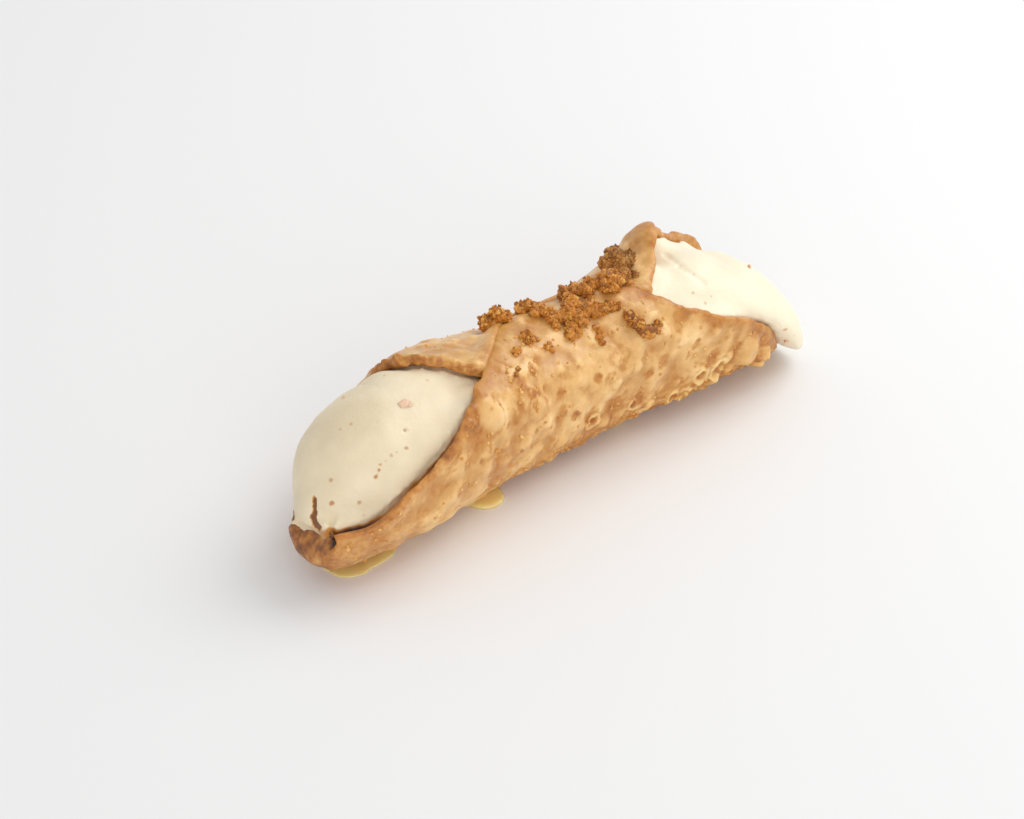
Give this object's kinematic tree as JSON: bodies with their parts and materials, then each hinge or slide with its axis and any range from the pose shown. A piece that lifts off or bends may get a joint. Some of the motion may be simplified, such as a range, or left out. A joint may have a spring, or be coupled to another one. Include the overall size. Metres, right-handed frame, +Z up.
{
  "type": "cannoli",
  "caption": "Fried pastry sheet wrapped round a tube of cream, its points at both ends, with browned crumble on top.",
  "frame": {"origin": "on the supporting surface, under the middle of the whole cannolo's bounding box", "axes": "+Z up; X along the tube, with the low narrow mouth towards -X and the higher, fuller mouth towards +X; -Y is the side that the front flap's edge and seam are turned to"},
  "size_m": [0.153, 0.0428, 0.0427],
  "materials": {
    "pastry": "fried dough under a thin smooth sugar glaze, light tan with browner blisters and edges",
    "cream": "dense ivory ricotta cream, satin, with small pits and brown specks",
    "crumble": "dry granular golden-brown crumbs"
  },
  "bodies": {
    "root": {"pastry_shell": "pastry", "cream_filling": "cream", "crumble_heap": "crumble", "crumble_lone": "crumble", "crumble_crescent": "crumble"}
  },
  "joints": []
}
